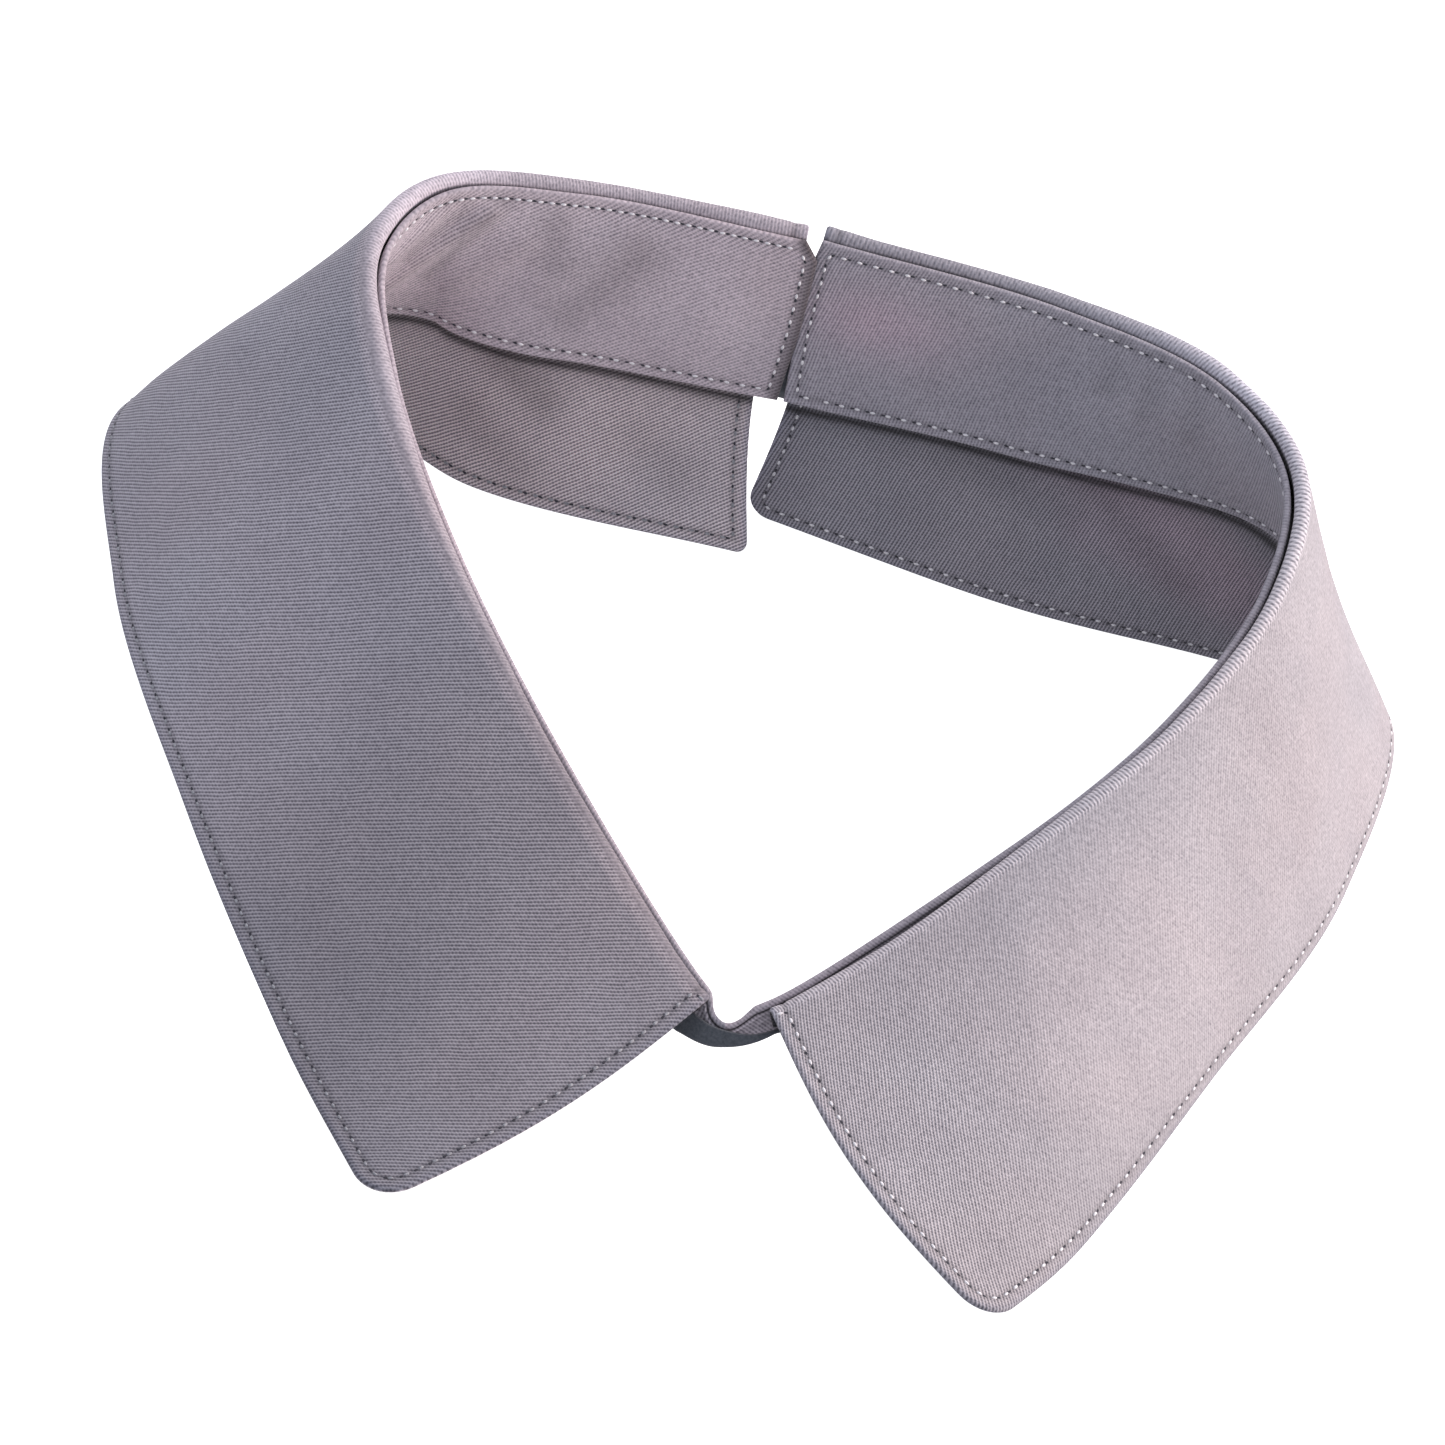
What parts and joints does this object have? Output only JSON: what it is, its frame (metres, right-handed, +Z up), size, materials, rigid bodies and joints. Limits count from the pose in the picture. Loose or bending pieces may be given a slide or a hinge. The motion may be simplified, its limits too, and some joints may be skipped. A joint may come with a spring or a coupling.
{
  "type": "detachable collar",
  "caption": "Stand-up-and-fall cloth collar worn without a shirt, with pointed leaves rolled over a low stand that opens at the back.",
  "frame": {"origin": "centre of the overall box, on the surface that the collar stands on", "axes": "+Z up, the tips point to -Y, the opening at the back faces +Y, +X is the wearer's left"},
  "size_m": [0.1896, 0.161, 0.0558],
  "materials": {
    "twill": "matt grey lilac twill",
    "smooth_cloth": "smooth dark slate lining cloth"
  },
  "bodies": {
    "root": {"stand_band": "twill", "left_leaf": "twill", "right_leaf": "twill", "front_strip": "smooth_cloth", "back_tab": "smooth_cloth"}
  },
  "joints": []
}
